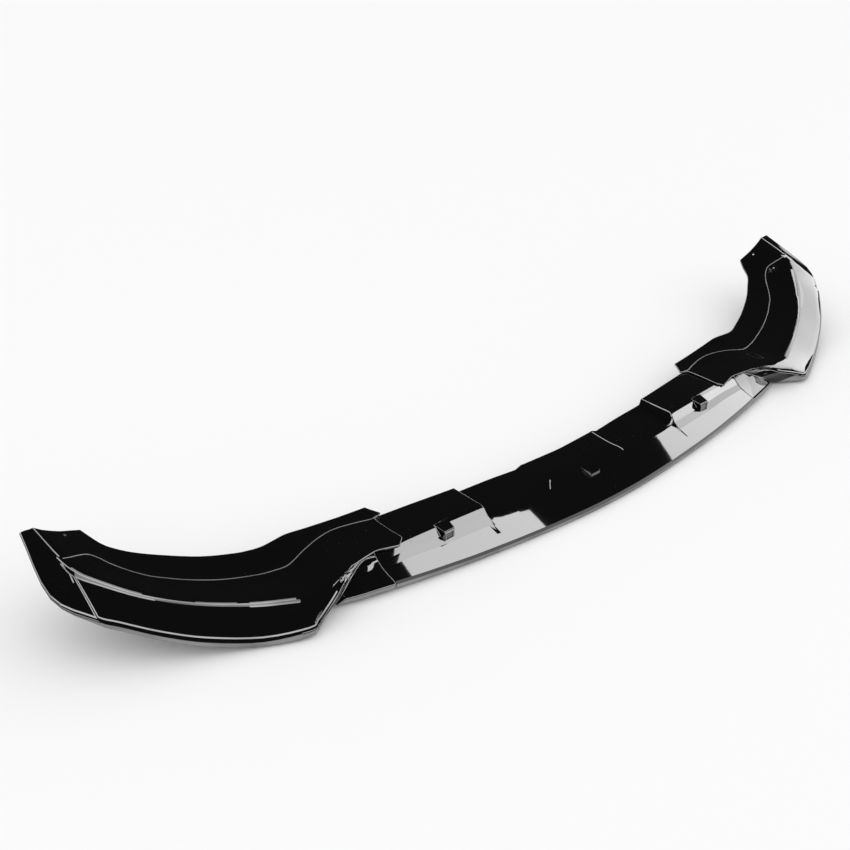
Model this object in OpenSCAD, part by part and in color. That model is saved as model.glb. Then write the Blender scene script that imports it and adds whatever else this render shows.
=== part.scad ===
// Front splitter lip in three glossy mouldings: a centre lip and two corner wings.
// X runs across the car, Y from the nose towards the rear, Z up.
// Each moulding is one thin curved skin, lofted through its feature lines.

/* [Overall] */
// Width across the two corner wings
lip_w = 1786; // [1600:2:1960]
// Depth from the nose to the rear ends of the wings
lip_d = 358; // [320:1:400]
// Rise of the rear ends above the foot of the nose
lip_h = 144; // [120:1:170]

/* [Mouldings] */
// Wall thickness of all three mouldings
wall = 3; // [2:0.1:4]
// Height of the outward face of the rim
rim_h = 11; // [8:0.5:16]
// Backward lean of the rim's foot on the centre lip
rim_lean = 2; // [0:0.5:5]
// Bevel that rounds the rim's upper edge
rim_bevel = 3.5; // [3:0.25:6]

/* [Centre lip] */
// Half length of the centre lip, from the nose to a seam
seam_x = 442; // [400:1:460]
// Gap between the butted rims at a seam
seam_gap = 1; // [0.4:0.1:2]
// Width of the two recesses in the flange
recess_w = 144; // [100:1:170]
// Distance of each recess's inner step from the nose
recess_x = 89; // [60:1:110]
// Depth of the recesses below the outer flange, along the fold
recess_drop = 18; // [8:0.5:20]
// Depth of the middle of the flange below the outer flange, along the fold
middle_drop = 9.5; // [0:0.5:14]
// Share of those depths that is left along the rear edge
rear_share = 0.58; // [0.3:0.02:1]
// Rise of the blade for each millimetre back from the rim
blade_rise = 0.3; // [0.2:0.01:0.4]
// Length ahead of the fold where the blade sweeps up
cove_run = 17; // [10:0.5:24]
// Run of each step along the flange
step_run = 5; // [3:0.5:10]

/* [Locating tabs] */
// Distance of the outer tabs from the nose
tab_x = 315; // [280:1:330]
// Width of a tab at its root
tab_w = 28; // [20:0.5:40]
// Width of a tab at its nose
tab_nose_w = 20; // [12:0.5:30]
// Length that an outer tab reaches ahead of the fold
tab_l = 19.5; // [14:0.5:26]
// Length that the middle tab reaches ahead of the fold
middle_tab_l = 25; // [14:0.5:28]
// Fall of a tab's top towards its nose
tab_fall = 4; // [0:0.5:6]
// Frame that is left round the sunk panel in the nose of an outer tab
tab_frame = 3.5; // [3:0.25:6]
// Depth of that panel
tab_sink = 1.2; // [0.5:0.1:1.5]

/* [Corner wings] */
// Overlap of a wing's flange on the centre lip, along most of its end
lap = 54; // [30:1:70]
// Clearance between the two lapped flanges
lap_gap = 0.3; // [0.1:0.1:1]
// Height of the fin along the ridge, at its front
fin_h = 4; // [2:0.25:7]
// Height of the fin near its rear end
fin_tail_h = 8; // [3:0.25:10]
// Outward run of the fin's face
fin_run = 4; // [3:0.25:8]
// Height that the front panel stands above the rear one
rib_h = 3; // [1:0.25:5]
// Bore of the screw hole in each rear end
hole_d = 5; // [3:0.1:7]
// Distance of the screw hole from the rear end
hole_inset = 13; // [9:0.5:20]

/* [Hidden] */
gloss_black = "#141416";

// The lines below are drawn at the reference size and stretched to the driving sizes:
// along X from the nose to the seam and from there to the tip of the wing, each part by itself.
drawn_seam_x = 442;
drawn_half_w = 893;
centre_stretch = seam_x / drawn_seam_x;
wing_stretch = (lip_w / 2 - seam_x) / (drawn_half_w - drawn_seam_x);
depth_stretch = lip_d / 358;
rise_stretch = lip_h / 144;
centre_y = (lip_d - rim_lean) / 2;
front_stations = 44;
bore_facets = 48;

// Foot of the rim in plan and its height, from the nose outwards
rim_foot = [
    [0, 0, 0], [60, 1, 0], [140, 7, 0], [220, 15, 1],
    [300, 25, 2], [380, 38, 4], [442, 50, 5.5], [520, 69, 6.5]
];
// Line where the blade would meet the outer flange
fold_line = [
    [0, 78, 47], [140, 76, 48], [240, 83, 49], [332, 90, 49],
    [387, 98, 45], [442, 100, 42], [520, 108, 42]
];
// Rear edge of the flange
rear_line = [
    [0, 138, 44], [100, 143, 44], [150, 147, 47], [240, 153, 48],
    [330, 165, 48], [370, 174, 44], [442, 187, 42], [520, 200, 42]
];

// Feature lines of the right wing, one row of points for each station from the lap rearwards:
// foot of the rim, ridge, valley and inner edge.
wing_points = [
    [[442, 97, 39.5], [442, 134, 46.8], [438, 177, 46.8], [432, 206, 51]],
    [[468, 97, 43], [492, 102, 46], [488, 180, 49], [489, 213, 53]],
    [[498, 88, 31], [520, 91, 45], [520, 174, 47], [525, 216, 56]],
    [[522, 78, 19], [547, 87, 43], [543, 167, 43], [552, 213, 57]],
    [[543, 76, 5], [568, 84, 41], [560, 162, 40], [572, 213, 56]],
    [[575, 56, 5], [583, 85, 40], [578, 163, 39], [590, 218, 55]],
    [[606, 43, 5], [603, 94, 41], [604, 174, 40], [612, 228, 54]],
    [[667, 69, 4], [657, 118, 47], [655, 192, 46], [658, 248, 59]],
    [[735, 104, 17], [724, 154, 61], [705, 213, 57], [709, 275, 71]],
    [[788, 137, 36], [783, 197, 80], [746, 240, 69], [742, 298, 79]],
    [[831, 172, 54], [829, 242, 103], [783, 273, 84], [764, 315, 88]],
    [[854, 194, 64], [846, 264, 114], [800, 290, 98], [774, 328, 93]],
    [[892, 252, 93], [856, 292, 127], [812, 318, 113], [781, 342, 99]],
    [[880, 358, 141], [861, 358, 144], [822, 358, 121], [790, 358, 109]]
];
// Place of the rim's upper edge above its foot: the lip over the lap, the free tip and the rim
rim_face = [0, 0, rim_h];
edge_lift = [
    [0, 1.5, wall + lap_gap + 2.5], [22, -5, 3], [21, -15, 14], [23, -17, 16],
    [29, -26, 22], [13, -11, 16], [-2, -1, rim_h + 2], rim_face, rim_face, rim_face, rim_face,
    rim_face * 0.9, rim_face * 0.4, rim_face * 0.3
];
// Stub of the blade below the free tip: rim foot at the same stations
stub_foot = [[442, 50, 5.5], [470, 56, 6], [500, 63, 6], [522, 70, 6], [538, 75, 6]];
// Stations, named by the row of points that they stand at
merge_station = 4;
fin_station = 5.2;
corner_station = 6;
rib_station = 11;
fin_end_station = 12;
end_station = 13;

function blend(a, b, t) = a + (b - a) * t;
function smooth(t) = let (c = min(1, max(0, t))) c * c * (3 - 2 * c);
function unit(v) = norm(v) < 0.000001 ? [0, 0, 1] : v / norm(v);
// Real x of a drawn one, the drawn x of a real one, and the real place of a drawn point
function real_x(x) =
    x < drawn_seam_x ? x * centre_stretch : seam_x + (x - drawn_seam_x) * wing_stretch;
function drawn_x(x) =
    x < seam_x ? x / centre_stretch : drawn_seam_x + (x - seam_x) / wing_stretch;
function stretched(p) = [real_x(p.x), p.y * depth_stretch, p.z * rise_stretch];

// Cubic through four even points, between the middle two
function cubic(a, b, c, d, t) =
    0.5 * (2 * b + (c - a) * t + (2 * a - 5 * b + 4 * c - d) * t * t + (3 * b - a - 3 * c + d) * t * t * t);

// Point of a smooth curve at place u, where whole numbers are the listed points
function along(points, u) =
    let (
        last = len(points) - 1,
        i = min(last - 1, max(0, floor(u))),
        a = i > 0 ? points[i - 1] : 2 * points[0] - points[1],
        d = i < last - 1 ? points[i + 2] : 2 * points[last] - points[last - 1]
    )
    cubic(a, points[i], points[i + 1], d, u - i);

// Place on a listed line that has a given x
function place_at(points, x, i = 0) =
    i >= len(points) - 2 || x <= points[i + 1].x
        ? i + (x - points[i].x) / (points[i + 1].x - points[i].x)
        : place_at(points, x, i + 1);
function straight_at(points, x) =
    let (u = place_at(points, x), i = min(len(points) - 2, floor(u)))
    blend(points[i], points[i + 1], u - i);
// Height and depth of a line of the centre lip at x, with its bends rounded
function line_at(points, x) =
    let (reach = 22, at = drawn_x(abs(x)),
         p = (straight_at(points, max(0, at - reach)) + 2 * straight_at(points, at)
              + straight_at(points, at + reach)) / 4)
    [x, p.y * depth_stretch, p.z * rise_stretch];

// Inner side of a section: each point moves in by the wall, with its row's shares of outward and up
function inner_side(section, outward, slants) =
    [for (j = [0:len(section) - 1]) section[j] - wall * (slants[j][0] * outward + [0, 0, slants[j][1]])];
// Level direction that looks outward from a line which runs along v
function outward_of(v) = unit([v.y, -v.x, 0]);

// Closed thin skin between a grid of outer points and one of inner points.
// kept(i, j) says which cells of the grid are there.
module skin(outer, inner, kept) {
    rows = len(outer);
    cols = len(outer[0]);
    base = rows * cols;
    is_cell = function (i, j) i >= 0 && j >= 0 && i < rows - 1 && j < cols - 1 && kept(i, j);
    at = function (i, j) i * cols + j;
    faces = [
        for (i = [0:rows - 2], j = [0:cols - 2]) if (is_cell(i, j))
            let (a = at(i, j), b = at(i + 1, j), c = at(i + 1, j + 1), d = at(i, j + 1))
            each concat(
                [[a, d, c], [a, c, b], [base + a, base + c, base + d], [base + a, base + b, base + c]],
                is_cell(i, j - 1) ? [] : [[base + a, a, b], [base + a, b, base + b]],
                is_cell(i, j + 1) ? [] : [[d, base + d, base + c], [d, base + c, c]],
                is_cell(i - 1, j) ? [] : [[a, base + a, base + d], [a, base + d, d]],
                is_cell(i + 1, j) ? [] : [[b, c, base + c], [b, base + c, base + b]]
            )
    ];
    points = [for (grid = [outer, inner], row = grid, p = row) p];
    polyhedron(points = points, faces = faces, convexity = 8);
}

// Drop of the centre lip's flange at x: the two recesses, and the middle between them
function flange_drop(x) =
    let (a = abs(x), outer_step = smooth((recess_x + recess_w - a) / step_run),
         inner_step = smooth((recess_x - a) / step_run + 1))
    recess_drop * outer_step + (middle_drop - recess_drop) * inner_step;
// Rim edge, fold and rear edge of the centre lip at x
function rim_edge(x) = line_at(rim_foot, x) + [0, -rim_lean, rim_h];
function fold_at(x) = line_at(fold_line, x) - flange_drop(x) * [0, 0.3, 1];
function rear_at(x) = line_at(rear_line, x) - flange_drop(x) * [0, 0, rear_share];
// Point where the blade between a rim's edge and a fold starts to sweep up, cove_run ahead of y
function cove_at(edge, fold, y) =
    let (run = fold.y - edge.y, at = max(y - cove_run, edge.y + 0.5 * run), t = (at - edge.y) / run)
    [blend(edge.x, fold.x, t), at,
     min(edge.z + blade_rise * (at - edge.y), blend(edge.z, fold.z, t))];
function centre_cove(x) = cove_at(rim_edge(x), fold_at(x), line_at(fold_line, x).y);

// Section of the centre lip at x, from the rim's foot up the blade and back along the flange
function centre_section(x) =
    let (
        foot = line_at(rim_foot, x), edge = rim_edge(x), fold = fold_at(x), rear = rear_at(x),
        cove = centre_cove(x), blade = unit(cove - edge),
        sweep = unit(fold - cove), flange = unit(rear - fold)
    )
    concat(
        [foot, edge - [0, 0, rim_bevel * 0.7], edge + [0, rim_bevel * 0.25, -rim_bevel * 0.15],
         edge + blade * rim_bevel],
        [blend(edge, cove, 0.45), blend(edge, cove, 0.85), blend(cove, fold, 0.3)],
        [fold - sweep * rim_bevel, fold + flange * rim_bevel],
        [for (t = [0.35, 0.7, 1]) blend(fold, rear, t)]
    );
centre_slants = [
    [1, 0], [1, 0.6], [1, 1], [0.8, 1], [0.4, 1], [0.4, 1], [0.4, 1], [0.4, 1],
    [0.3, 1], [0.1, 1], [0, 1], [0, 1]
];
function centre_outward(x) = outward_of(line_at(rim_foot, x + 1) - line_at(rim_foot, x - 1));
// Top of the centre lip at x and y, on the flange and just ahead of it on the sweep
function centre_top(x, y) =
    let (fold = fold_at(x), rear = rear_at(x), cove = centre_cove(x))
    y < fold.y ? blend(fold.z, cove.z, (fold.y - y) / (fold.y - cove.y))
        : blend(fold.z, rear.z, min(1, (y - fold.y) / (rear.y - fold.y)));

// Even stations along half the lip, with one more on each side of every step
half_end = seam_x - seam_gap / 2;
step_places = [recess_x - step_run / 2, recess_x + recess_w - step_run / 2];
function near_step(x) = len([for (s = step_places) if (abs(abs(x) - s) < step_run * 1.2) 1]) > 0;
even_places = [for (i = [-front_stations / 2:front_stations / 2]) i * 2 * half_end / front_stations];
step_stations = [for (s = step_places, side = [-1, 1], t = [-0.5, -0.2, 0.2, 0.5]) side * s + t * step_run];
function sorted(v) =
    len(v) < 2 ? v : let (mid = v[floor(len(v) / 2)])
        concat(sorted([for (x = v) if (x < mid) x]), [mid], sorted([for (x = v) if (x > mid) x]));
centre_places = sorted(concat([for (x = even_places) if (!near_step(x)) x], step_stations));

// Solid form of a tab: a wedge from its top down into the blade, and the same smaller as its hollow
module tab_form(x, grow) {
    fold = fold_at(x);
    cove = centre_cove(x);
    sink = grow < 0 ? 2 * wall : wall / 2;
    nose_y = fold.y - (x == 0 ? middle_tab_l : tab_l) - grow;
    top_z = fold.z + grow;
    blade_z = cove.z + (nose_y - cove.y) * blade_rise;
    half_root = tab_w / 2 + grow;
    half_nose = tab_nose_w / 2 + grow;
    back_y = fold.y + rim_bevel;
    intersection() {
        translate([x - half_root, 0, 0]) rotate([90, 0, 90]) linear_extrude(2 * half_root)
            polygon([
                [back_y, top_z], [nose_y + 1.5, top_z - tab_fall], [nose_y, top_z - tab_fall - 1.5],
                [nose_y, blade_z - sink], [cove.y, cove.z - sink], [back_y, fold.z - sink]
            ]);
        translate([x, 0, -lip_h]) linear_extrude(3 * lip_h)
            polygon([
                [-half_root, back_y + 1], [-half_nose, nose_y - 2],
                [half_nose, nose_y - 2], [half_root, back_y + 1]
            ]);
    }
}

// Room of the sunk panel in the nose of a tab
module tab_panel(x) {
    fold = fold_at(x);
    cove = centre_cove(x);
    nose_y = fold.y - tab_l;
    low = cove.z + (nose_y - cove.y) * blade_rise + tab_frame;
    high = fold.z - tab_fall - tab_frame;
    half = tab_nose_w / 2 - tab_frame;
    translate([x - half, nose_y - 1, low]) cube([2 * half, 1 + tab_sink, high - low]);
}

// Centre lip: bowed blade, stepped flange and three hollow tabs at the fold
module centre_lip() color(gloss_black)
    translate([0, -centre_y, 0])
        difference() {
            union() {
                skin(
                    [for (x = centre_places) centre_section(x)],
                    [for (x = centre_places)
                        inner_side(centre_section(x), centre_outward(x), centre_slants)],
                    function (i, j) true
                );
                for (x = [-tab_x, 0, tab_x]) tab_form(x, 0);
            }
            for (x = [-tab_x, 0, tab_x]) tab_form(x, -wall * 0.7);
            for (x = [-tab_x, tab_x]) tab_panel(x);
        }

// Points of the wing's lines at station u
function foot_at(u) = stretched(along([for (p = wing_points) p[0]], u));
function edge_at(u) = foot_at(u) + along(edge_lift, u);
function ridge_at(u) = stretched(along([for (p = wing_points) p[1]], u));
function valley_at(u) = stretched(along([for (p = wing_points) p[2]], u));
function inner_at(u) = stretched(along([for (p = wing_points) p[3]], u));
function stub_at(u) = stretched(along(stub_foot, u));
// Share of the stub's rim that is left below the outer face, whose foot comes down across it
function rim_left(u) =
    u > merge_station - 0.1 ? 0 : min(1, max(0, (foot_at(u).z - stub_at(u).z - 2) / rim_h));

// Height of the fin at station u, and the raised front panel ahead of the rib
function fin_at(u) =
    blend(fin_h, fin_tail_h, smooth((u - rib_station + 2) / 2))
    * smooth((u - fin_station) / 0.3) * smooth((fin_end_station - u) / 0.8);
function panel_at(u) = rib_h * smooth((rib_station - u) / 0.05) * smooth((u - corner_station) / 2);

// Section of the wing at station u: stub blade, rim, outer face, fin, channel and flange
function wing_section(u) =
    let (
        stub = stub_at(min(u, merge_station)), left = max(0.05, rim_left(u)),
        stub_edge = stub + left * [0, -rim_lean, rim_h],
        cove = cove_at(stub_edge, foot_at(u), foot_at(u).y),
        foot = foot_at(u), edge = edge_at(u), crest = ridge_at(u),
        valley = valley_at(u), inner = inner_at(u),
        outward = outward_of(ridge_at(u + 0.05) - ridge_at(u - 0.05)), rise = fin_at(u),
        top = crest + outward * min(fin_run, 1.5), root = crest + outward * fin_run - [0, 0, rise],
        face = unit(root - edge), lift = [0, 0, panel_at(u)],
        bevel = min(rim_bevel, (edge.z - foot.z) * 0.45)
    )
    concat(
        [stub, stub_edge - left * [0, 0, rim_bevel * 0.6],
         stub_edge + unit(cove - stub_edge) * rim_bevel * left],
        [blend(stub_edge, cove, 0.6), blend(cove, foot, 0.15)],
        [foot, edge - [0, 0, bevel], edge + face * bevel + lift * 0.8],
        [for (t = [0.3, 0.55, 0.8]) blend(edge, root, t) + lift + [0, 0, 3 * t * (1 - t)]],
        [root + lift * 0.6, top, crest - outward * 2],
        [for (t = [0.35, 0.7]) blend(crest, valley, t) - [0, 0, 4 * t * (1 - t)]],
        [valley],
        [for (t = [0.3, 0.65, 1]) blend(valley, inner, t)]
    );
stub_columns = 5;
lap_columns = 7;
rim_slants = [[1, 0], [1, 0.6], [0.8, 1], [0.5, 1], [0.5, 1], [1, 1]];
upper_slants = [
    [1, 1], [0.8, 1], [0.5, 1], [0.5, 1], [0.5, 1], [0.5, 1], [0.4, 1],
    [0.3, 1], [0.1, 1], [0, 1], [0, 1], [0, 1], [0, 1], [0, 1]
];
// The rows of the stub move straight in where its rim runs out, and the free rim past it too
function wing_slants(u) =
    concat([for (s = rim_slants) blend([1, 0], s, rim_left(u))], upper_slants);
function wing_outward(u) = outward_of(foot_at(u + 0.05) - foot_at(u - 0.05));

// Lapped end of the wing's flange: reach of each row beyond the seam as a share of the lap, and its
// depth as a share of the centre lip's flange, from the front edge to the rear
lap_end = [
    [0.78, -0.1], [1.02, 0.03], [1.02, 0.16], [1, 0.28], [1, 0.38], [1, 0.45], [1, 0.53],
    [1, 0.7], [1.03, 0.9], [1.33, 1], [1.26, 1.07], [1.17, 1.17], [1.09, 1.28]
];
// Row j of the lapped flange at share t of the lap, lying on the centre lip
function lap_point(base, j, t) =
    let (
        end = lap_end[j - lap_columns], x = base.x - t * (base.x - seam_x + lap * end.x),
        fold = fold_at(x), rear = rear_at(x), fold_0 = fold_at(base.x), rear_0 = rear_at(base.x),
        depth_0 = (base.y - fold_0.y) / (rear_0.y - fold_0.y),
        y = fold.y + blend(depth_0, end.y, t) * (rear.y - fold.y),
        lift = (wall + lap_gap) * (j == lap_columns ? 1.4 + 0.9 * t : 1.05),
        rise = max(0, base.z - centre_top(base.x, base.y) - lift)
    )
    [x, y, centre_top(x, y) + lift + rise * (j < lap_columns + 9 ? 1 - t : 1)];

lap_steps = 5;
lap_shares = [for (i = [lap_steps:-1:1]) i / lap_steps];
function lap_section(t) =
    let (base = wing_section(0))
    [for (j = [0:len(base) - 1])
        j < lap_columns ? base[j] - [lap * t, 0, 0] : lap_point(base[j], j, t)];
// Stations of the wing: finer round the free tip, the corner and the rib
wing_places = concat(
    [for (u = [0:0.25:corner_station + 0.99]) u],
    [for (u = [corner_station + 1:0.25:rib_station - 0.2]) u],
    [rib_station - 0.06, rib_station],
    [for (u = [rib_station + 0.25:0.25:end_station]) u]
);
module wing_body() {
    merge_row = lap_steps + (merge_station - 0.25) * 4;
    skin(
        concat([for (t = lap_shares) lap_section(t)], [for (u = wing_places) wing_section(u)]),
        concat(
            [for (t = lap_shares) [for (p = lap_section(t)) p - [0, 0, wall]]],
            [for (u = wing_places) inner_side(wing_section(u), wing_outward(u), wing_slants(u))]
        ),
        function (i, j) i < lap_steps ? j >= lap_columns : i < merge_row ? true : j >= stub_columns
    );
}

// Screw hole through the inner flange near the rear end
module screw_hole() {
    rear = valley_at(end_station);
    next = valley_at(end_station - 0.4);
    across = inner_at(end_station) - rear;
    normal = unit(cross(across, next - rear));
    translate(rear + unit(next - rear) * hole_inset)
        rotate([0, acos(normal.z), atan2(normal.y, normal.x)])
            cylinder(d = hole_d, h = 8 * wall, center = true, $fn = bore_facets);
}

// Corner wing on the +X side
module right_wing() color(gloss_black)
    translate([0, -centre_y, 0]) difference() {
        wing_body();
        screw_hole();
    }
module left_wing() mirror([1, 0, 0]) right_wing();

centre_lip();
left_wing();
right_wing();
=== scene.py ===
"""Front splitter lip in three gloss black mouldings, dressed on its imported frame."""
import logging
import math
from dataclasses import dataclass, field
from enum import Enum, IntEnum

import bmesh
import bpy
import numpy as np
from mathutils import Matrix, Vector
from mathutils.bvhtree import BVHTree


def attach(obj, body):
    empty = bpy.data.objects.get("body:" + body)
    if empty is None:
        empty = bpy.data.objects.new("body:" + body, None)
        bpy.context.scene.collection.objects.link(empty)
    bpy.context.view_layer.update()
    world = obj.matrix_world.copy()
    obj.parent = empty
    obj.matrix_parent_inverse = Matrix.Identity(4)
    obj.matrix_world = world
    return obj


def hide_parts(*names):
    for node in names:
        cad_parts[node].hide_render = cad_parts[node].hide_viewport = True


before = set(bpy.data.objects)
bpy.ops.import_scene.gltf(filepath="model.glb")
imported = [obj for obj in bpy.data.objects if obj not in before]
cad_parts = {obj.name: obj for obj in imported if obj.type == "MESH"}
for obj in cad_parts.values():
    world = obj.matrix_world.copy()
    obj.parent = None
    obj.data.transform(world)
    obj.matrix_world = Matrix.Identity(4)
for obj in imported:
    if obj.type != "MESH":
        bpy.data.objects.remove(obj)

LOG = logging.getLogger("front_lip")
MM = 0.001
SHORT = 1e-9  # least length in metres that is divided by
SLIGHT = 1e-12  # least length of a normal that is divided by
FAINT = 1e-30  # least weight of a face
Colour = tuple[float, float, float]
PlanLine = tuple[tuple[float, float], ...]


class Side(Enum):
    """The two ends of the lip, with the name of the wing's node."""

    LEFT = "left_wing"
    RIGHT = "right_wing"


class Finish(IntEnum):
    """The material slots of a skin, in order."""

    GLOSS = 0
    # the rim finish: its pale grey is a painted reflection of the floor on the rim band, and
    # a painted sheen on the fin and the crease line
    RIM = 1
    # the pale edge finish: a painted highlight along rounded edges and step lines
    EDGE_HIGHLIGHT = 2


def link(made: bpy.types.Object) -> None:
    """Puts an object into the scene."""
    bpy.context.scene.collection.objects.link(made)


class Graph:
    """A node tree with short calls to add nodes and to join them."""

    def __init__(self, tree: bpy.types.NodeTree) -> None:
        """Starts on an empty tree.

        Args:
            tree: the tree that the nodes go into.
        """
        self.tree = tree
        tree.nodes.clear()

    def add(self, kind: str, label: str = "", **settings: object) -> bpy.types.Node:
        """Adds a node.

        Args:
            kind: the node's type name.
            label: what the node is for.
            **settings: attributes of the node, such as its operation.

        Returns:
            The new node.
        """
        node = self.tree.nodes.new(kind)
        node.label = label
        for name, value in settings.items():
            setattr(node, name, value)
        return node

    def join(self, source: bpy.types.NodeSocket, target: bpy.types.NodeSocket) -> None:
        """Joins an output to an input."""
        self.tree.links.new(source, target)

    def feed(self, target: bpy.types.NodeSocket, value: object) -> None:
        """Joins a socket to an input, or sets a plain value on it.

        Args:
            target: the input socket.
            value: an output socket, or the value to set.
        """
        if isinstance(value, bpy.types.NodeSocket):
            self.join(value, target)
        else:
            target.default_value = value

    def maths(self, operation: str, *values: object) -> bpy.types.NodeSocket:
        """Adds a Math node.

        Args:
            operation: the name of the operation.
            *values: its inputs in order, each a socket or a number.

        Returns:
            Its result.
        """
        node = self.add("ShaderNodeMath", operation=operation)
        for socket, value in zip(node.inputs, values):
            self.feed(socket, value)
        return node.outputs[0]

    def spread(self, value: object, low: object, high: object, out_low: float = 0.0,
               out_high: float = 1.0, steps: str = "SMOOTHSTEP") -> bpy.types.NodeSocket:
        """Maps a value from one range to another, held at both ends.

        Args:
            value: the socket or number to map.
            low: the value that gives out_low.
            high: the value that gives out_high.
            out_low: result at and below low.
            out_high: result at and above high.
            steps: the interpolation, such as LINEAR.

        Returns:
            The mapped value.
        """
        node = self.add("ShaderNodeMapRange", interpolation_type=steps)
        for socket, given in zip(node.inputs, (value, low, high, out_low, out_high)):
            self.feed(socket, given)
        return node.outputs[0]

    def noise(self, label: str, scale: object,
              place: bpy.types.NodeSocket | None = None) -> bpy.types.Node:
        """Adds a noise texture.

        Args:
            label: what the noise is for.
            scale: its scale, a socket or a number.
            place: the coordinates that it follows, or None for the generated ones.

        Returns:
            The texture's node.
        """
        node = self.add("ShaderNodeTexNoise", label)
        if place is not None:
            self.join(place, node.inputs["Vector"])
        self.feed(node.inputs["Scale"], scale)
        return node

    def blend(self, label: str, share: bpy.types.NodeSocket, one: Colour,
              two: Colour) -> bpy.types.NodeSocket:
        """Mixes two colours.

        Args:
            label: what the mix is for.
            share: how much of the second colour there is.
            one: the first colour.
            two: the second colour.

        Returns:
            The mixed colour.
        """
        node = self.add("ShaderNodeMix", label, data_type="RGBA")
        self.join(share, node.inputs["Factor"])
        first, second, result = node.inputs[6], node.inputs[7], node.outputs[2]
        first.default_value, second.default_value = (*one, 1.0), (*two, 1.0)
        return result

    def bump(self, label: str, height: bpy.types.NodeSocket,
             distance: float) -> bpy.types.NodeSocket:
        """Adds a Bump node at full strength.

        Args:
            label: what the relief is.
            height: its height, from 0 to 1.
            distance: the height in metres that 1 stands for.

        Returns:
            The bumped normal.
        """
        node = self.add("ShaderNodeBump", label)
        node.inputs["Strength"].default_value = 1.0
        node.inputs["Distance"].default_value = distance
        self.join(height, node.inputs["Height"])
        return node.outputs[0]


class EffectGroup:
    """A shader node group with named inputs and outputs, built once."""

    name: str = "effect"

    def __init__(self) -> None:
        """Makes the group's tree and lets the effect fill it."""
        self.tree = bpy.data.node_groups.new(self.name, "ShaderNodeTree")
        self.graph = Graph(self.tree)
        self.build()

    def build(self) -> None:
        """Fills the tree. Each effect has its own."""
        raise NotImplementedError

    def socket(self, name: str, way: str, value: float | None = None) -> None:
        """Adds a number socket to the group.

        Args:
            name: the socket's name.
            way: INPUT or OUTPUT.
            value: its default, for an input.
        """
        made = self.tree.interface.new_socket(
            name=name, in_out=way, socket_type="NodeSocketFloat")
        if value is not None:
            made.default_value = value

    def place(self, graph: Graph, **values: object) -> bpy.types.Node:
        """Puts the group into a tree.

        Args:
            graph: the tree to put it in.
            **values: its inputs by name, with underscores for spaces.

        Returns:
            The group's node.
        """
        node = graph.add("ShaderNodeGroup", self.name, node_tree=self.tree)
        for name, value in values.items():
            graph.feed(node.inputs[name.replace("_", " ")], value)
        return node


class GlossRipple(EffectGroup):
    """Faint ripple that a moulded gloss surface shows in what it mirrors."""

    name: str = "gloss ripple"
    detail: float = 1.0

    def build(self) -> None:
        """A broad slow wave from the mould and a fine skin over it."""
        self.socket("Wave Size", "INPUT", 0.09)
        self.socket("Skin Size", "INPUT", 0.0025)
        self.socket("Skin Share", "INPUT", 0.02)
        self.socket("Height", "OUTPUT")
        g = self.graph
        given = g.add("NodeGroupInput")
        place = g.add("ShaderNodeTexCoord").outputs["Object"]
        heights = []
        for size in ("Wave Size", "Skin Size"):
            noise = g.noise(size, g.maths("DIVIDE", 1.0, given.outputs[size]), place)
            noise.inputs["Detail"].default_value = self.detail
            heights.append(noise.outputs["Fac"])
        skin = g.maths("MULTIPLY", heights[1], given.outputs["Skin Share"])
        g.join(g.maths("ADD", heights[0], skin), g.add("NodeGroupOutput").inputs["Height"])


class DustSpecks(EffectGroup):
    """Fine dust and lint that settles on upward faces."""

    name: str = "dust specks"
    drift_scale: float = 6.0
    drift_range: tuple[float, float] = (0.5, 0.66)
    upward_range: tuple[float, float] = (0.3, 0.8)

    def build(self) -> None:
        """Small round specks in drifts, on faces that look up."""
        self.socket("Spacing", "INPUT", 0.012)
        self.socket("Radius", "INPUT", 0.06)
        self.socket("Dust", "OUTPUT")
        g = self.graph
        given = g.add("NodeGroupInput")
        place = g.add("ShaderNodeTexCoord").outputs["Object"]
        cells = g.add("ShaderNodeTexVoronoi", "specks")
        g.join(place, cells.inputs["Vector"])
        g.join(g.maths("DIVIDE", 1.0, given.outputs["Spacing"]), cells.inputs["Scale"])
        speck = g.maths("LESS_THAN", cells.outputs["Distance"], given.outputs["Radius"])
        drift = g.noise("drifts", self.drift_scale, place)
        patchy = g.spread(drift.outputs["Fac"], *self.drift_range)
        normal = g.add("ShaderNodeSeparateXYZ")
        g.join(g.add("ShaderNodeNewGeometry").outputs["Normal"], normal.inputs[0])
        upward = g.spread(normal.outputs["Z"], *self.upward_range)
        lies = g.maths("MULTIPLY", g.maths("MULTIPLY", speck, patchy), upward)
        g.join(lies, g.add("NodeGroupOutput").inputs["Dust"])


class MouldSide(EffectGroup):
    """Tells the polished outer side of a moulding from its plain under side."""

    name: str = "mould side"
    downward_range: tuple[float, float] = (-0.15, -0.45)

    def build(self) -> None:
        """A mask that is 1 on faces that look down."""
        self.socket("Underside", "OUTPUT")
        g = self.graph
        normal = g.add("ShaderNodeSeparateXYZ")
        g.join(g.add("ShaderNodeNewGeometry").outputs["True Normal"], normal.inputs[0])
        down = g.spread(normal.outputs["Z"], *self.downward_range)
        g.join(down, g.add("NodeGroupOutput").inputs["Underside"])


class Effects:
    """The shared effects, each built once."""

    def __init__(self) -> None:
        """Builds the groups."""
        self.ripple = GlossRipple()
        self.dust = DustSpecks()
        self.side = MouldSide()


def start_material(name: str, label: str) -> tuple[bpy.types.Material, Graph, bpy.types.Node]:
    """Makes a material with its shader joined to the output.

    Args:
        name: the material's name.
        label: what the shader stands for.

    Returns:
        The material, its node tree and its shader.
    """
    made = bpy.data.materials.new(name)
    made.use_nodes = True
    g = Graph(made.node_tree)
    shader = g.add("ShaderNodeBsdfPrincipled", label)
    g.join(shader.outputs[0], g.add("ShaderNodeOutputMaterial").inputs["Surface"])
    return made, g, shader


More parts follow.
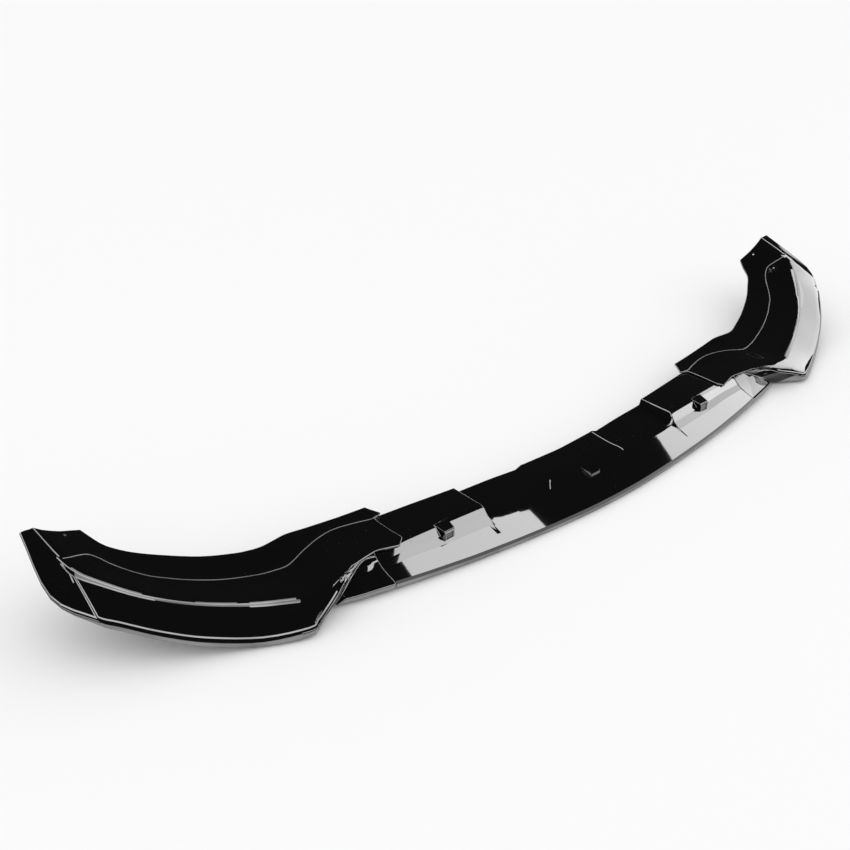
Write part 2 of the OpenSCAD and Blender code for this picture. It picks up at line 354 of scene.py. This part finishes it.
@dataclass(frozen=True)
class GlossBlack:
    """Piano-gloss black plastic with a clear lacquer, satin where the mould left it."""

    name: str = "gloss_black"
    colour: Colour = (0.003, 0.003, 0.0035)
    dust_colour: Colour = (0.09, 0.09, 0.09)
    dust_cover: float = 0.5
    gloss: float = 0.03
    satin: float = 0.32
    lacquer: float = 1.0
    lacquer_roughness: float = 0.015
    ior: float = 1.5
    ripple_height: float = 0.00004

    def material(self, effects: Effects) -> bpy.types.Material:
        """Makes the finish.

        Args:
            effects: the shared effects.

        Returns:
            The material.
        """
        made, g, shader = start_material(self.name, "lacquered plastic")
        dust = effects.dust.place(g).outputs["Dust"]
        under = effects.side.place(g).outputs["Underside"]
        cover = g.maths("MULTIPLY", dust, self.dust_cover)
        g.join(g.blend("dust over plastic", cover, self.colour, self.dust_colour),
               shader.inputs["Base Color"])
        dull = g.maths("MAXIMUM", under, dust)
        g.join(g.spread(dull, 0.0, 1.0, self.gloss, self.satin), shader.inputs["Roughness"])
        g.join(g.spread(dull, 0.0, 1.0, self.lacquer, 0.0), shader.inputs["Coat Weight"])
        shader.inputs["Coat Roughness"].default_value = self.lacquer_roughness
        shader.inputs["IOR"].default_value = self.ior
        ripple = effects.ripple.place(g).outputs["Height"]
        g.join(g.bump("ripple", ripple, self.ripple_height), shader.inputs["Normal"])
        return made


@dataclass(frozen=True)
class PaintedSheenEdge:
    """Satin plastic for the rim and the rounded edges, pale with painted light: its tones
    stand in for the floor mirrored in the rim and the highlight caught on rounded edges.
    """

    name: str = "rim_painted_sheen"
    # Painted light: both tones are pale stand-ins for reflected light, the floor mirrored in
    # the rim and a highlight on rounded edges; the paler one lies in random patches.
    colour: Colour = (0.16, 0.16, 0.165)
    paler_sheen: Colour = (0.26, 0.26, 0.265)
    roughness: tuple[float, float] = (0.24, 0.36)
    sheen_patch_scale: float = 9.0
    paler_sheen_range: tuple[float, float] = (0.35, 0.65)
    rough_range: tuple[float, float] = (0.3, 0.7)
    ior: float = 1.5
    grain_height: float = 0.00003

    def material(self, effects: Effects) -> bpy.types.Material:
        """Makes the finish.

        Args:
            effects: the shared effects.

        Returns:
            The material.
        """
        made, g, shader = start_material(self.name, "satin plastic with painted sheen")
        place = g.add("ShaderNodeTexCoord").outputs["Object"]
        # Painted sheen: the noise lays the paler tone in random patches over the pale base,
        # and also varies the roughness.
        sheen_patches = g.noise("painted sheen patches", self.sheen_patch_scale, place).outputs["Fac"]
        paler_sheen = g.spread(sheen_patches, *self.paler_sheen_range)
        g.join(g.blend("painted sheen on plastic", paler_sheen, self.colour, self.paler_sheen),
               shader.inputs["Base Color"])
        g.join(g.spread(sheen_patches, *self.rough_range, *self.roughness), shader.inputs["Roughness"])
        shader.inputs["IOR"].default_value = self.ior
        grain = effects.ripple.place(g, Wave_Size=0.004, Skin_Size=0.0008, Skin_Share=0.4)
        g.join(g.bump("mould grain", grain.outputs["Height"], self.grain_height),
               shader.inputs["Normal"])
        return made


class Polish:
    """Gives a skin the even normals of a polished mould, panel by panel.

    A panel is a run of faces that meet without a crease. Its normals are evened out over
    a short reach, so what it mirrors has no kinks. A rounded edge blends between panels.

    Attributes:
        rounds: how often a panel is evened out.
        facing: how far a normal has to agree with a face to be used on it.
    """

    rounds: int = 3
    facing: float = 0.2

    def __init__(self, mesh: bpy.types.Mesh, crease: float, reach: float,
                 stray: float) -> None:
        """Reads the mesh and finds its panels.

        Args:
            mesh: the skin, with its edges already rounded.
            crease: the face angle in radians that parts two panels.
            reach: how far along the panel a normal is evened out, in metres.
            stray: the angle in radians from which a face counts less than its neighbours.
        """
        self.mesh = mesh
        self.reach = reach
        self.stray = stray
        self.spots = self.read("vertices", "co", 3)
        self.normals = self.read("polygons", "normal", 3)
        self.centres = self.read("polygons", "center", 3)
        self.areas = self.read("polygons", "area", 1)[:, 0]
        self.corners = [list(face.vertices) for face in mesh.polygons]
        self.panels = self.find_panels(crease)

    def read(self, group: str, name: str, width: int) -> np.ndarray:
        """Reads one attribute of the mesh.

        Args:
            group: the mesh's collection, such as vertices.
            name: the attribute's name.
            width: numbers in one value.

        Returns:
            One row for each item.
        """
        items = getattr(self.mesh, group)
        values = np.empty(len(items) * width, dtype=np.float32)
        items.foreach_get(name, values)
        return values.reshape(-1, width).astype(float)

    def find_panels(self, crease: float) -> list[list[int]]:
        """Collects the faces that meet without a crease.

        Args:
            crease: the face angle in radians that parts two panels.

        Returns:
            The face numbers of each panel.
        """
        sides: dict[tuple[int, int], list[int]] = {}
        for number, ring in enumerate(self.corners):
            for one, two in zip(ring, ring[1:] + ring[:1]):
                sides.setdefault((min(one, two), max(one, two)), []).append(number)
        near: list[list[int]] = [[] for _ in self.corners]
        limit = math.cos(crease)
        for pair in sides.values():
            if len(pair) == 2 and self.normals[pair[0]] @ self.normals[pair[1]] > limit:
                near[pair[0]].append(pair[1])
                near[pair[1]].append(pair[0])
        panels, seen = [], set()
        for first in range(len(self.corners)):
            if first in seen:
                continue
            seen.add(first)
            panel, queue = [], [first]
            while queue:
                number = queue.pop()
                panel.append(number)
                fresh = [other for other in near[number] if other not in seen]
                seen.update(fresh)
                queue.extend(fresh)
            panels.append(panel)
        return panels

    def vertices(self, panel: list[int]) -> list[int]:
        """Lists the vertices of a panel's faces in order."""
        return sorted({vert for number in panel for vert in self.corners[number]})

    def even(self, panel: list[int]) -> dict[int, np.ndarray]:
        """Evens out the normals of one panel.

        Args:
            panel: its face numbers.

        Returns:
            The normal at each of its vertices.
        """
        verts = self.vertices(panel)
        gap = self.spots[verts][:, None, :] - self.centres[panel][None, :, :]
        near = np.exp(-(gap ** 2).sum(-1) / (2 * self.reach ** 2)) * self.areas[panel] + FAINT
        share = near
        for _ in range(self.rounds):
            made = share @ self.normals[panel]
            made /= np.maximum(np.linalg.norm(made, axis=1, keepdims=True), SLIGHT)
            lean = 1.0 - np.clip(made @ self.normals[panel].T, -1.0, 1.0)
            share = near * np.exp(-lean / self.stray ** 2) + FAINT
        return dict(zip(verts, made))

    def width(self, panel: list[int]) -> float:
        """Measures a panel's mean width: its area over its longest extent.

        Args:
            panel: its face numbers.

        Returns:
            The width in metres.
        """
        extent = float(np.ptp(self.spots[self.vertices(panel)], axis=0).max())
        return float(self.areas[panel].sum()) / max(extent, SHORT)

    def apply(self, smallest: float, narrowest: float) -> None:
        """Sets the evened normals on the mesh.

        Args:
            smallest: the area in square metres from which a panel counts as one.
            narrowest: the width in metres from which it does.
        """
        shared: dict[int, list[tuple[float, np.ndarray]]] = {}
        own: dict[int, dict[int, np.ndarray]] = {}
        for panel in self.panels:
            area = float(self.areas[panel].sum())
            if area < smallest or self.width(panel) < narrowest:
                continue
            evened = self.even(panel)
            for number in panel:
                own[number] = evened
            for vert, normal in evened.items():
                shared.setdefault(vert, []).append((area, normal))
        loose = np.zeros_like(self.spots)
        for number, ring in enumerate(self.corners):
            loose[ring] += self.normals[number] * self.areas[number]
        self.mesh.normals_split_custom_set(
            [self.pick(number, vert, own, shared, loose)
             for number, ring in enumerate(self.corners) for vert in ring])

    def pick(self, number: int, vert: int, own: dict[int, dict[int, np.ndarray]],
             shared: dict[int, list[tuple[float, np.ndarray]]],
             loose: np.ndarray) -> tuple[float, ...]:
        """Chooses the normal of one corner.

        Args:
            number: the face.
            vert: the vertex.
            own: evened normals by face, for faces in a panel.
            shared: evened normals by vertex, each with its panel's area.
            loose: plain normals by vertex, for the rounded edges.

        Returns:
            The normal.
        """
        if number in own:
            return tuple(own[number][vert])
        face = self.normals[number]
        fitting = [pair for pair in shared.get(vert, []) if pair[1] @ face > self.facing]
        if fitting:
            return tuple(max(fitting, key=lambda pair: pair[0])[1])
        plain = loose[vert] / max(float(np.linalg.norm(loose[vert])), SLIGHT)
        return tuple(plain if plain @ face > self.facing else face)


@dataclass(frozen=True)
class FineLine:
    """The fine rounded line that the mould leaves along a crease: a strip on the skin, drawn
    in a pale finish that paints the highlight along the crease.

    Attributes:
        width: the strip's width.
        rise: how far its middle stands proud of the skin.
        profile: its section, as places in shares of the width, each with its height in
            shares of the rise.
        longest_drop: a section that lies this much higher or lower than the one before
            has hit another face, and is left out.
        above: a height that is clear of the moulding.
        corner_cut: the share of each stretch that rounding cuts off at both its ends.
        roundings: how often that is done.
    """

    width: float = 1.9 * MM
    rise: float = 0.25 * MM
    profile: PlanLine = ((-0.5, -0.4), (-0.25, 0.7), (0.0, 1.0), (0.25, 0.7), (0.5, -0.4))
    longest_drop: float = 8 * MM
    above: float = 1.0
    corner_cut: float = 0.25
    roundings: int = 2

    def rounded(self, line: PlanLine) -> list[np.ndarray]:
        """Rounds the corners of a line.

        Args:
            line: points in plan, in millimetres.

        Returns:
            Closer points in plan, in metres.
        """
        near, far = 1 - self.corner_cut, self.corner_cut
        spots = [np.array(spot) * MM for spot in line]
        for _ in range(self.roundings):
            cut = [spots[0]]
            for one, two in zip(spots, spots[1:]):
                cut += [near * one + far * two, far * one + near * two]
            spots = cut + [spots[-1]]
        return spots

    def section(self, skin: BVHTree, spot: np.ndarray,
                way: np.ndarray) -> list[tuple[float, float, float]]:
        """Lays one section of the strip on the skin.

        Args:
            skin: the moulding's faces.
            spot: the section's place in plan, in metres.
            way: the line's direction there.

        Returns:
            Its points, fewer than the profile has where it misses the skin.
        """
        across = np.array((-way[1], way[0])) / max(float(np.linalg.norm(way)), SHORT)
        points = []
        for share, height in self.profile:
            x, y = spot + across * self.width * share
            met = skin.ray_cast(Vector((x, y, self.above)), Vector((0.0, 0.0, -1.0)))[0]
            if met is not None:
                points.append((x, y, met.z + self.rise * height))
        return points

    def mesh(self, name: str, skin: BVHTree, spots: list[np.ndarray]) -> bpy.types.Mesh:
        """Joins the sections into a strip.

        Args:
            name: the mesh's name.
            skin: the moulding's faces.
            spots: the line's points in plan, in metres.

        Returns:
            The strip.
        """
        wide = len(self.profile)
        rows: list[list[tuple[float, float, float]]] = []
        for number, spot in enumerate(spots):
            way = spots[min(number + 1, len(spots) - 1)] - spots[max(number - 1, 0)]
            row = self.section(skin, spot, way)
            if len(row) < wide:
                continue
            if not rows or abs(row[0][2] - rows[-1][0][2]) < self.longest_drop:
                rows.append(row)
        made = bpy.data.meshes.new(name)
        made.from_pydata(
            [spot for row in rows for spot in row], [],
            [(first, first + wide, first + wide + 1, first + 1)
             for first in range(wide * (len(rows) - 1)) if first % wide < wide - 1])
        for face in made.polygons:
            face.use_smooth = True
        if made.polygons[0].normal.z < 0:
            made.flip_normals()
        return made

    def draw(self, piece: bpy.types.Object, name: str, spots: list[np.ndarray],
             finish: bpy.types.Material) -> None:
        """Puts the line on a moulding.

        Args:
            piece: the moulding that carries it.
            name: the line's name.
            spots: its points in plan, in metres.
            finish: its material.
        """
        skin = BVHTree.FromPolygons(
            [vert.co for vert in piece.data.vertices],
            [list(face.vertices) for face in piece.data.polygons])
        made = self.mesh(name, skin, spots)
        made.materials.append(finish)
        line = bpy.data.objects.new(name, made)
        link(line)
        line.parent = piece


@dataclass
class Moulding:
    """One gloss moulding: its skin from the frame, with its edges rounded.

    Attributes:
        node: the node that it takes the place of.
        weld: points that lie closer than this become one.
        join_angle: two triangles that meet flatter than this may become a quad.
        join_skew: how far that quad's corners may differ from square ones.
        edge_angle: an edge that is sharper than this is rounded.
        edge_radius: its radius.
        edge_share: the share of the edges around it that the rounding may take up.
        edge_segments: faces across the rounding.
        crease: the angle that parts two panels of the polish.
        reach: how far the polish evens out normals.
        stray: the angle from which a face counts less in it.
        smallest_panel: the area from which a panel is polished.
        narrowest_panel: the width from which it is.
        rim_height: height of the rim, and the reach in plan to its foot.
        rim_front: how far forward a face of the rim looks at least.
        rim_side: or how far outward.
        rim_slope: how far down and how far up it looks at most.
        edge_highlight_slope: how far up a rounded edge looks at least to take the painted
            edge highlight.
        rim_line: whether the rim's own rounded edges take the painted edge highlight.
        line: the fine line along its creases.
        body: the body that it rides on.
    """

    node: str
    weld: float = 0.01 * MM
    join_angle: float = math.radians(18.0)
    join_skew: float = math.radians(150.0)
    edge_angle: float = math.radians(27.0)
    edge_radius: float = 1.2 * MM
    edge_share: float = 0.3
    edge_segments: int = 3
    crease: float = math.radians(11.0)
    reach: float = 14.0 * MM
    stray: float = math.radians(6.0)
    smallest_panel: float = 40.0 * MM * MM
    narrowest_panel: float = 2.4 * MM
    rim_height: float = 15.0 * MM
    rim_front: float = 0.3
    rim_side: float = 0.45
    rim_slope: tuple[float, float] = (-0.35, 0.12)
    edge_highlight_slope: float = 0.3
    rim_line: bool = True
    line: FineLine = FineLine()
    body: str = "root"

    def skin(self) -> bpy.types.Mesh:
        """Copies the node's mesh, joins its triangles into quads and marks its edges.

        Returns:
            The new mesh, with the share of the edge radius that fits on each edge.
        """
        work = bmesh.new()
        work.from_mesh(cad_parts[self.node].data)
        bmesh.ops.remove_doubles(work, verts=work.verts, dist=self.weld)
        bmesh.ops.join_triangles(
            work, faces=work.faces, angle_face_threshold=self.join_angle,
            angle_shape_threshold=self.join_skew)
        weight = work.edges.layers.float.new("bevel_weight_edge")
        for edge in work.edges:
            if len(edge.link_faces) == 2 and edge.calc_face_angle(0.0) > self.edge_angle:
                around = [other.calc_length() for vert in edge.verts
                          for other in vert.link_edges if other is not edge]
                edge[weight] = min(1.0, self.edge_share * min(around) / self.edge_radius)
        for face in work.faces:
            face.smooth = True
        made = bpy.data.meshes.new(f"{self.node}_skin")
        work.to_mesh(made)
        work.free()
        for _ in Finish:
            made.materials.append(None)
        return made

    def rounded(self) -> bpy.types.Mesh:
        """Rounds the skin's edges and evens out its normals.

        Returns:
            The finished mesh.
        """
        rough = bpy.data.objects.new(f"{self.node}_rough", self.skin())
        link(rough)
        bevel = rough.modifiers.new("edge radius", "BEVEL")
        bevel.limit_method = "WEIGHT"
        bevel.width = self.edge_radius
        bevel.segments = self.edge_segments
        bevel.use_clamp_overlap = False
        # the rounded edges take the pale edge finish, a painted highlight
        bevel.material = Finish.EDGE_HIGHLIGHT
        graph = bpy.context.evaluated_depsgraph_get()
        made = bpy.data.meshes.new_from_object(rough.evaluated_get(graph))
        made.name = f"{self.node}_skin"
        bpy.data.objects.remove(rough)
        polish = Polish(made, self.crease, self.reach, self.stray)
        polish.apply(self.smallest_panel, self.narrowest_panel)
        return made

    def place_of(self, mesh: bpy.types.Mesh, face: bpy.types.MeshPolygon,
                 low: float) -> Finish:
        """Chooses the finish of one face.

        Args:
            mesh: the skin.
            face: the face, which has the pale edge finish, a painted highlight, where it
                rounds an edge.
            low: height of the lowest point of the skin near the face, in metres.

        Returns:
            Its finish.
        """
        x, y, z = face.normal
        at_rim = face.center.z - low < self.rim_height
        # rounded edges that look up keep the pale edge finish, a painted highlight; the
        # others turn gloss
        if face.material_index == Finish.EDGE_HIGHLIGHT:
            shows = z > self.edge_highlight_slope and (self.rim_line or not at_rim)
            return Finish.EDGE_HIGHLIGHT if shows else Finish.GLOSS
        # upright outward faces near the foot take the rim finish, whose pale grey is a
        # painted reflection of the floor
        outward = y < -self.rim_front or x * math.copysign(1.0, face.center.x) > self.rim_side
        upright = self.rim_slope[0] < z < self.rim_slope[1]
        return Finish.RIM if at_rim and outward and upright else Finish.GLOSS

    def dress(self, piece: bpy.types.Object, finishes: list[bpy.types.Material]) -> None:
        """Puts the finishes on.

        Args:
            piece: the moulding.
            finishes: the materials, in the order of Finish.
        """
        mesh = piece.data
        for number, finish in enumerate(finishes):
            mesh.materials[number] = finish
        spots = np.array([tuple(vert.co) for vert in mesh.vertices])
        for face in mesh.polygons:
            far = np.abs(spots[:, :2] - np.array(face.center[:2])).max(axis=1)
            low = float(spots[far < self.rim_height, 2].min(initial=face.center.z))
            face.material_index = self.place_of(mesh, face, low)

    def build(self, finishes: list[bpy.types.Material]) -> bpy.types.Object:
        """Makes the moulding in place of its node.

        Args:
            finishes: the materials, in the order of Finish.

        Returns:
            The new piece.
        """
        piece = bpy.data.objects.new(f"{self.node}_skin", self.rounded())
        link(piece)
        self.dress(piece, finishes)
        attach(piece, self.body)
        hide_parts(self.node)
        LOG.info("built %s", piece.name)
        return piece


@dataclass
class CentreLip(Moulding):
    """The bowed blade between the wings.

    Attributes:
        step_lines: the lines of the two shallow middle steps by name, in plan, in
            millimetres from the middle of the lip.
    """

    node: str = "centre_lip"
    reach: float = 26.0 * MM
    stray: float = math.radians(2.5)
    smallest_panel: float = 130.0 * MM * MM
    rim_line: bool = False
    step_lines: tuple[tuple[str, PlanLine], ...] = (
        ("right_step_line", ((86, -39), (84, -60), (83, -81), (84, -99), (89, -111))),
        ("left_step_line", ((-84, -101), (-91, -108), (-95, -113))))

    def dress(self, piece: bpy.types.Object, finishes: list[bpy.types.Material]) -> None:
        """Puts the finishes on, and draws the lines of the two shallow middle steps in the
        pale edge finish, a painted highlight.

        Args:
            piece: the moulding.
            finishes: the materials, in the order of Finish.
        """
        super().dress(piece, finishes)
        for name, line in self.step_lines:
            # the step lines take the pale edge finish: a painted highlight along each step
            self.line.draw(piece, f"{self.node}_{name}", self.line.rounded(line),
                           finishes[Finish.EDGE_HIGHLIGHT])


@dataclass
class CornerWing(Moulding):
    """The wing at one end.

    Attributes:
        side: the end.
        crease_line: the crease of the flange in plan, in millimetres from the middle of
            the lip towards this end.
        fin_line: the fin along the ridge, given in the same way.
        fin_reach: how far the fin's faces lie from that line at most.
        crest_reach: how far those of its crest do.
        fin_width: the width that its faces have at most.
        fin_ends: the distances from the middle of the lip between which it takes the rim
            finish, a painted sheen.
        crest_slope: how far up its crest looks at least.
        front_slope: how far up its front looks, at least and at most.
        front_turn: how far forward its front looks at least.
        runout_reach: the reach round its front end in which every face is gloss.
        fin_spots: the fin line on this side, rounded.
    """

    node: str = ""
    side: Side = Side.RIGHT
    crease_line: PlanLine = (
        (380, -6), (391, -8), (408, -2), (426, 3), (443, 7), (464, 8), (488, 4), (511, -2),
        (530, -7), (546, -12), (562, -15), (587, -9), (616, 0), (642, 9), (666, 18),
        (705, 36), (728, 51), (746, 62), (766, 82), (785, 105), (798, 117), (811, 122),
        (831, 117), (851, 110))
    fin_line: PlanLine = (
        (852, 109), (846, 89), (827, 67), (807, 44), (782, 22), (753, 0), (723, -22),
        (692, -42), (656, -60), (623, -76), (588, -94))
    fin_reach: float = 9.5 * MM
    crest_reach: float = 4.5 * MM
    fin_width: float = 5.9 * MM
    fin_ends: tuple[float, float] = (594.0 * MM, 852.0 * MM)
    crest_slope: float = 0.9
    front_slope: tuple[float, float] = (0.3, 0.82)
    front_turn: float = 0.45
    runout_reach: float = 26.0 * MM
    fin_spots: list[np.ndarray] = field(init=False, default_factory=list)

    def __post_init__(self) -> None:
        """Takes the node's name and the fin's place from the side."""
        self.node = self.side.value
        self.fin_spots = self.plan(self.fin_line)

    def plan(self, line: PlanLine) -> list[np.ndarray]:
        """Rounds a line and puts it on this wing's side.

        Args:
            line: points in plan, in millimetres.

        Returns:
            Closer points in plan, in metres.
        """
        way = -1 if self.side is Side.LEFT else 1
        return self.line.rounded(tuple((x * way, y) for x, y in line))

    def on_fin(self, mesh: bpy.types.Mesh, face: bpy.types.MeshPolygon, off: float) -> bool:
        """Tells whether a face has the place, the direction and the width of the fin's.

        Args:
            mesh: the skin.
            face: the face.
            off: its distance from the fin line in plan, in metres.

        Returns:
            Whether it is one of the fin's.
        """
        normal = face.normal
        crest = normal.z > self.crest_slope and off < self.crest_reach
        low, high = self.front_slope
        front = low < normal.z < high and normal.y < -self.front_turn
        if off >= self.fin_reach or not (crest or front):
            return False
        ring = [mesh.vertices[vert].co for vert in face.vertices]
        longest = max((one - two).length for one, two in zip(ring, ring[1:] + ring[:1]))
        return face.area < self.fin_width * longest

    def place_of(self, mesh: bpy.types.Mesh, face: bpy.types.MeshPolygon,
                 low: float) -> Finish:
        """Chooses the finish of one face; the fin along the ridge takes the rim finish, a
        painted sheen.

        Args:
            mesh: the skin.
            face: the face, which has the pale edge finish, a painted highlight, where it
                rounds an edge.
            low: height of the lowest point of the skin near the face, in metres.

        Returns:
            Its finish.
        """
        centre = np.array(face.center[:2])
        off = min(float(np.linalg.norm(centre - spot)) for spot in self.fin_spots)
        start, end = self.fin_ends
        out = abs(face.center.x)
        # the fin's faces take the pale rim finish: a painted sheen along the ridge
        if start < out < end and self.on_fin(mesh, face, off):
            return max(Finish.RIM, Finish(face.material_index))
        if out < start and off < self.runout_reach:
            return Finish.GLOSS
        return super().place_of(mesh, face, low)

    def dress(self, piece: bpy.types.Object, finishes: list[bpy.types.Material]) -> None:
        """Puts the finishes on, and draws the crease line in the pale rim finish, a painted
        highlight.

        Args:
            piece: the moulding.
            finishes: the materials, in the order of Finish.
        """
        super().dress(piece, finishes)
        # the crease line is drawn in the rim finish: a painted highlight along the crease
        self.line.draw(piece, f"{self.node}_crease", self.plan(self.crease_line),
                       finishes[Finish.RIM])


@dataclass
class FrontLip:
    """The three mouldings together."""

    finish: GlossBlack = field(default_factory=GlossBlack)
    # the rim finish: its pale grey is a painted reflection of the floor, and a painted sheen
    # on the fin and the crease line
    rim_finish: PaintedSheenEdge = field(default_factory=PaintedSheenEdge)
    # the edge finish: its pale greys are a painted highlight along rounded edges and step
    # lines
    edge_finish: PaintedSheenEdge = PaintedSheenEdge("painted_edge_highlight", (0.3, 0.3, 0.305), (0.5, 0.5, 0.5))

    def build(self) -> None:
        """Builds the mouldings in order, from the middle outwards."""
        effects = Effects()
        finishes = [finish.material(effects)
                    for finish in (self.finish, self.rim_finish, self.edge_finish)]
        CentreLip().build(finishes)
        for side in Side:
            CornerWing(side=side).build(finishes)


@dataclass(frozen=True)
class LightPanel:
    """A flat panel of light that hangs level over the lip, in metres."""

    name: str
    sides: tuple[float, float]
    depth: tuple[float, float]
    turn: float = 0.0
    height: float = 1.5
    radiance: float = 6.0

    def build(self) -> None:
        """Hangs the panel. The gloss mirrors it; the floor takes its light from the room."""
        wide = self.sides[1] - self.sides[0]
        deep = self.depth[1] - self.depth[0]
        data = bpy.data.lights.new(self.name, "AREA")
        data.shape = "RECTANGLE"
        data.size, data.size_y = wide, deep
        data.energy = self.radiance * wide * deep * math.pi
        lamp = bpy.data.objects.new(self.name, data)
        lamp.location = (sum(self.sides) / 2, sum(self.depth) / 2, self.height)
        lamp.rotation_euler = (0.0, 0.0, math.radians(self.turn))
        lamp.visible_diffuse = False
        link(lamp)


@dataclass
class Studio:
    """Pale floor and pale horizon in a dark room, with panels of light overhead.

    Attributes:
        floor_size: the floor's side, in metres.
        floor_tone: its lowest and its highest tone.
        paint_scale: how fast the tone drifts.
        paint_range: the values of the noise between which it does.
        paint_roughness: the paint's roughness.
        paint_gloss: its specular level.
        horizon: strength of the horizon to glossy rays.
        horizon_top: the heights in degrees between which it fades into the room.
        room: strength of the room to glossy rays.
        daylight: strength of the world to all other rays.
        panels: the panels of light.
    """

    floor_size: float = 60.0
    floor_tone: tuple[float, float] = (0.95, 0.96)
    paint_scale: float = 3.0
    paint_range: tuple[float, float] = (0.3, 0.7)
    paint_roughness: float = 0.9
    paint_gloss: float = 0.1
    horizon: float = 0.9
    horizon_top: tuple[float, float] = (5.0, 11.0)
    room: float = 0.015
    daylight: float = 1.02
    panels: tuple[LightPanel, ...] = (
        LightPanel("left panel", (0.38, 0.905), (0.1, 0.234)),
        LightPanel("left panel end", (0.905, 0.945), (0.1, 0.221)),
        LightPanel("left strip", (0.3415, 0.4315), (-0.796, -0.504), turn=29.0),
        LightPanel("left bar", (0.43, 0.74), (-0.85, -0.7)),
        LightPanel("left front strip", (0.35, 0.45), (-1.8, -1.345)),
        LightPanel("left front corner", (0.45, 0.55), (-2.04, -1.72), turn=34.0),
        LightPanel("middle front bar", (0.94, 1.27), (-2.38, -2.18)),
        LightPanel("right panel", (1.685, 2.42), (0.17, 0.355), radiance=4.9),
        LightPanel("right inner panel", (2.06, 2.42), (-0.95, 0.17), radiance=4.6),
        LightPanel("right end panel", (2.42, 5.4), (-0.95, 0.26), radiance=3.8),
        LightPanel("right front panel", (1.72, 2.6), (-1.62, -0.95), radiance=4.6),
        LightPanel("right front strip", (3.59, 3.85), (-2.4, -0.72), turn=58.8),
        LightPanel("right front bar", (3.54, 3.92), (-2.48, -2.32)),
    )

    def floor(self) -> None:
        """Lays the floor at the level of the rim's foot."""
        half = self.floor_size / 2
        mesh = bpy.data.meshes.new("floor")
        mesh.from_pydata(
            [(-half, -half, 0), (half, -half, 0), (half, half, 0), (-half, half, 0)],
            [], [(0, 1, 2, 3)])
        floor = bpy.data.objects.new("floor", mesh)
        link(floor)
        material, g, shader = start_material("studio_floor", "matt paint")
        drift = g.noise("paint", self.paint_scale).outputs["Fac"]
        tone = g.spread(drift, *self.paint_range, *self.floor_tone)
        grey = g.add("ShaderNodeCombineColor")
        for channel in grey.inputs:
            g.join(tone, channel)
        g.join(grey.outputs[0], shader.inputs["Base Color"])
        shader.inputs["Roughness"].default_value = self.paint_roughness
        shader.inputs["Specular IOR Level"].default_value = self.paint_gloss
        mesh.materials.append(material)

    def light(self) -> None:
        """Lights the room: dark to the gloss, with a pale horizon, plain to the rest."""
        world = bpy.data.worlds.new("studio")
        world.use_nodes = True
        bpy.context.scene.world = world
        g = Graph(world.node_tree)
        way = g.add("ShaderNodeSeparateXYZ")
        g.join(g.add("ShaderNodeTexCoord").outputs["Generated"], way.inputs[0])
        height = g.maths("DEGREES", g.maths("ARCSINE", way.outputs["Z"]))
        mirrored = g.spread(height, *self.horizon_top, self.horizon, self.room)
        glossy = g.add("ShaderNodeLightPath").outputs["Is Glossy Ray"]
        level = g.add("ShaderNodeMix", "what each ray meets")
        for socket, value in zip((level.inputs[0], level.inputs[2], level.inputs[3]),
                                 (glossy, self.daylight, mirrored)):
            g.feed(socket, value)
        background = g.add("ShaderNodeBackground")
        background.inputs["Color"].default_value = (1.0, 1.0, 1.0, 1.0)
        g.join(level.outputs[0], background.inputs["Strength"])
        g.join(background.outputs[0], g.add("ShaderNodeOutputWorld").inputs["Surface"])

    def build(self) -> None:
        """Builds the floor and the light."""
        self.floor()
        self.light()
        for panel in self.panels:
            panel.build()
        bpy.context.scene.view_settings.view_transform = "Standard"
        LOG.info("built the studio")


@dataclass(frozen=True)
class ViewPoint:
    """The camera, at the left of the nose and above it.

    Attributes:
        place: where it stands, in metres.
        turn: its rotation, in degrees.
        lens: its focal length, in millimetres.
        sensor: the width of its sensor, in millimetres.
    """

    place: tuple[float, float, float] = (-1.3998, -1.3094, 1.1686)
    turn: tuple[float, float, float] = (60.0, 0.0, -40.705)
    lens: float = 53.14
    sensor: float = 36.0

    def build(self) -> None:
        """Makes the camera."""
        data = bpy.data.cameras.new("camera")
        data.lens = self.lens
        data.sensor_width = self.sensor
        camera = bpy.data.objects.new("camera", data)
        camera.location = self.place
        camera.rotation_euler = [math.radians(angle) for angle in self.turn]
        link(camera)
        bpy.context.scene.camera = camera
        LOG.info("placed the camera")


def main() -> None:
    """Builds the whole scene round the frame."""
    logging.basicConfig(level=logging.INFO, format="%(message)s")
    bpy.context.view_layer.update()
    ViewPoint().build()
    Studio().build()
    FrontLip().build()


if __name__ == "__main__":
    main()
